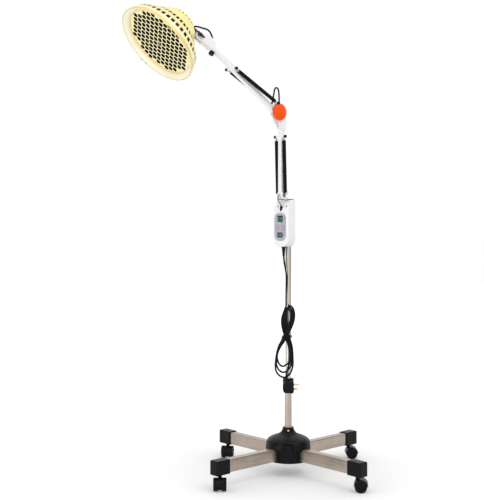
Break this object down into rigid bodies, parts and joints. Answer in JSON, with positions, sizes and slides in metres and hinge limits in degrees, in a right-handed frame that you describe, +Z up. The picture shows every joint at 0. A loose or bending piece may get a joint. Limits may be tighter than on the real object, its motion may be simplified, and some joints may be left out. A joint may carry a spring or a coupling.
{
  "type": "infrared heat therapy lamp",
  "caption": "Floor-standing infrared heat lamp: bell-shaped mineral-plate head with a perforated guard on a sprung two-part arm, control box and mast, on a castor base",
  "frame": {"origin": "on the floor, on the vertical axis of the posts", "axes": "+Z up; the arm folds in the YZ plane and the head reaches toward -Y; +X is the side of the elbow knob"},
  "size_m": [0.6226, 0.9037, 1.3757],
  "materials": {
    "black_plastic": "moulded, fine grain",
    "castor_tyre": "moulded wheels, scuffed tread",
    "leg_steel": "brushed along the leg",
    "mast_chrome": "polished tube",
    "screw_steel": "bright zinc",
    "arm_white": "powder coat, satin",
    "box_white": "moulded, satin gloss",
    "panel_grey": "printed membrane",
    "display_dark": "smoked window with lit digits",
    "board_green": "solder mask",
    "rocker_green": "moulded, glossy",
    "button_grey": "membrane caps",
    "cord_black": "round cord, satin",
    "lead_grey": "round lead, satin",
    "sleeve_black": "ribbed sleeve over a spring",
    "knob_orange": "moulded, glossy",
    "hinge_dark": "black oxide",
    "shade_cream": "baked enamel, satin",
    "ring_cream": "baked enamel, satin",
    "guard_cream": "pressed sheet, enamelled",
    "mineral_black": "fired mineral coating",
    "heater_ceramic": "unglazed",
    "shield_aluminium": "spun sheet",
    "gland_black": "moulded grommet"
  },
  "bodies": {
    "base": {"hub_body": "black_plastic", "hub_cover": "black_plastic", "base_screws": "screw_steel", "legs": "leg_steel", "leg_caps": "black_plastic", "lower_post": "leg_steel", "post_collar": "black_plastic"},
    "height_knob": {"lock_knob": "black_plastic"},
    "mast": {"upper_post": "mast_chrome", "box_front": "box_white", "box_rear": "box_white", "control_panel": "panel_grey", "display_module": "display_dark", "circuit_board": "board_green", "switch_frame": "black_plastic", "box_screws": "screw_steel", "top_gland": "black_plastic", "bottom_gland": "black_plastic", "mains_cord": "cord_black", "cord_hank": "cord_black", "plug": "cord_black"},
    "rocker_key": {"rocker": "rocker_green"},
    "time_key": {"time_button": "button_grey"},
    "temp_key": {"temp_button": "button_grey"},
    "arm_base": {"arm_yoke": "arm_white", "yoke_bolts": "screw_steel", "base_cable": "lead_grey"},
    "lower_arm": {"lower_arm_tube": "arm_white", "elbow_bracket": "arm_white", "lower_springs": "sleeve_black"},
    "elbow_lock": {"elbow_knob": "knob_orange"},
    "upper_arm": {"upper_arm_tube": "arm_white", "swivel_socket": "arm_white", "upper_springs": "sleeve_black", "elbow_cable": "cord_black"},
    "swivel_lock": {"swivel_knob": "black_plastic"},
    "knuckle_fork": {"knuckle": "arm_white", "hinge_bolt": "hinge_dark"},
    "tilt_lock": {"wing_nut": "hinge_dark"},
    "head": {"tilt_bracket": "hinge_dark", "rear_dome": "shade_cream", "shade": "shade_cream", "front_rim": "ring_cream", "guard": "guard_cream", "head_screws": "screw_steel", "mineral_plate": "mineral_black", "heater_block": "heater_ceramic", "heat_shield": "shield_aluminium", "terminal_block": "heater_ceramic", "head_gland": "gland_black", "head_cable": "cord_black"},
    "castor_front": {"castor_hood_front": "black_plastic"},
    "wheels_front": {"castor_wheels_front": "castor_tyre"},
    "castor_right": {"castor_hood_right": "black_plastic"},
    "wheels_right": {"castor_wheels_right": "castor_tyre"},
    "castor_rear": {"castor_hood_rear": "black_plastic"},
    "wheels_rear": {"castor_wheels_rear": "castor_tyre"},
    "castor_left": {"castor_hood_left": "black_plastic"},
    "wheels_left": {"castor_wheels_left": "castor_tyre"}
  },
  "joints": [
    {"name": "castor_swivel_front", "type": "hinge", "parent": "base", "child": "castor_front", "pos_m": [0, -0.281, 0.05], "axis": [0, 0, 1], "continuous": true},
    {"name": "wheel_spin_front", "type": "hinge", "parent": "castor_front", "child": "wheels_front", "pos_m": [0.00737, -0.28776, 0.018], "axis": [-0.6756, -0.7373, 0], "continuous": true},
    {"name": "castor_swivel_right", "type": "hinge", "parent": "base", "child": "castor_right", "pos_m": [0.281, 0, 0.05], "axis": [0, 0, 1], "continuous": true},
    {"name": "wheel_spin_right", "type": "hinge", "parent": "castor_right", "child": "wheels_right", "pos_m": [0.28866, 0.00643, 0.018], "axis": [0.6428, -0.766, 0], "continuous": true},
    {"name": "castor_swivel_rear", "type": "hinge", "parent": "base", "child": "castor_rear", "pos_m": [0, 0.281, 0.05], "axis": [0, 0, 1], "continuous": true},
    {"name": "wheel_spin_rear", "type": "hinge", "parent": "castor_rear", "child": "wheels_rear", "pos_m": [0.00676, 0.28837, 0.018], "axis": [0.7373, -0.6756, 0], "continuous": true},
    {"name": "castor_swivel_left", "type": "hinge", "parent": "base", "child": "castor_left", "pos_m": [-0.281, 0, 0.05], "axis": [0, 0, 1], "continuous": true},
    {"name": "wheel_spin_left", "type": "hinge", "parent": "castor_left", "child": "wheels_left", "pos_m": [-0.27457, -0.00766, 0.018], "axis": [-0.766, -0.6428, 0], "continuous": true},
    {"name": "height_lock_turn", "type": "hinge", "parent": "base", "child": "height_knob", "pos_m": [0, 0, 0.275], "axis": [-0.7373, 0.6756, 0], "range_deg": [0, 360]},
    {"name": "mast_slide", "type": "slide", "parent": "base", "child": "mast", "axis": [0, 0, 1], "range_m": [-0.09, 0.06]},
    {"name": "rocker_tilt", "type": "hinge", "parent": "mast", "child": "rocker_key", "pos_m": [0, -0.0324, 0.738], "axis": [0, 0, -1], "range_deg": [0, 20]},
    {"name": "time_press", "type": "slide", "parent": "mast", "child": "time_key", "axis": [0, 1, 0], "range_m": [0, 0.001], "stiffness_N_per_m": 400},
    {"name": "temp_press", "type": "slide", "parent": "mast", "child": "temp_key", "axis": [0, 1, 0], "range_m": [0, 0.001], "stiffness_N_per_m": 400},
    {"name": "arm_swivel", "type": "hinge", "parent": "mast", "child": "arm_base", "pos_m": [0, -0.022, 0.849], "axis": [0, 0, 1], "range_deg": [-80, 80], "deforming": ["base_cable"]},
    {"name": "lower_arm_tilt", "type": "hinge", "parent": "arm_base", "child": "lower_arm", "pos_m": [0, -0.03, 0.8592], "axis": [1, 0, 0], "range_deg": [-25, 45], "deforming": ["lower_springs"]},
    {"name": "elbow_lock_turn", "type": "hinge", "parent": "lower_arm", "child": "elbow_lock", "pos_m": [0, -0.055, 1.113], "axis": [1, 0, 0], "range_deg": [0, 360]},
    {"name": "elbow", "type": "hinge", "parent": "lower_arm", "child": "upper_arm", "pos_m": [0, -0.055, 1.113], "axis": [1, 0, 0], "range_deg": [-35, 50], "deforming": ["upper_springs", "elbow_cable"]},
    {"name": "head_swivel", "type": "hinge", "parent": "upper_arm", "child": "knuckle_fork", "pos_m": [0, -0.31243, 1.2821], "axis": [0, -0.8358, 0.549], "range_deg": [-60, 60]},
    {"name": "swivel_lock_turn", "type": "hinge", "parent": "upper_arm", "child": "swivel_lock", "pos_m": [0, -0.30491, 1.27716], "axis": [0, -0.549, -0.8358], "range_deg": [0, 360]},
    {"name": "head_tilt", "type": "hinge", "parent": "knuckle_fork", "child": "head", "pos_m": [-0.0007, -0.36807, 1.31032], "axis": [0.995, -0.0547, -0.0833], "range_deg": [-40, 50], "deforming": ["head_cable"]},
    {"name": "tilt_lock_turn", "type": "hinge", "parent": "knuckle_fork", "child": "tilt_lock", "pos_m": [-0.0007, -0.36807, 1.31032], "axis": [0.995, -0.0547, -0.0833], "range_deg": [0, 360]}
  ]
}
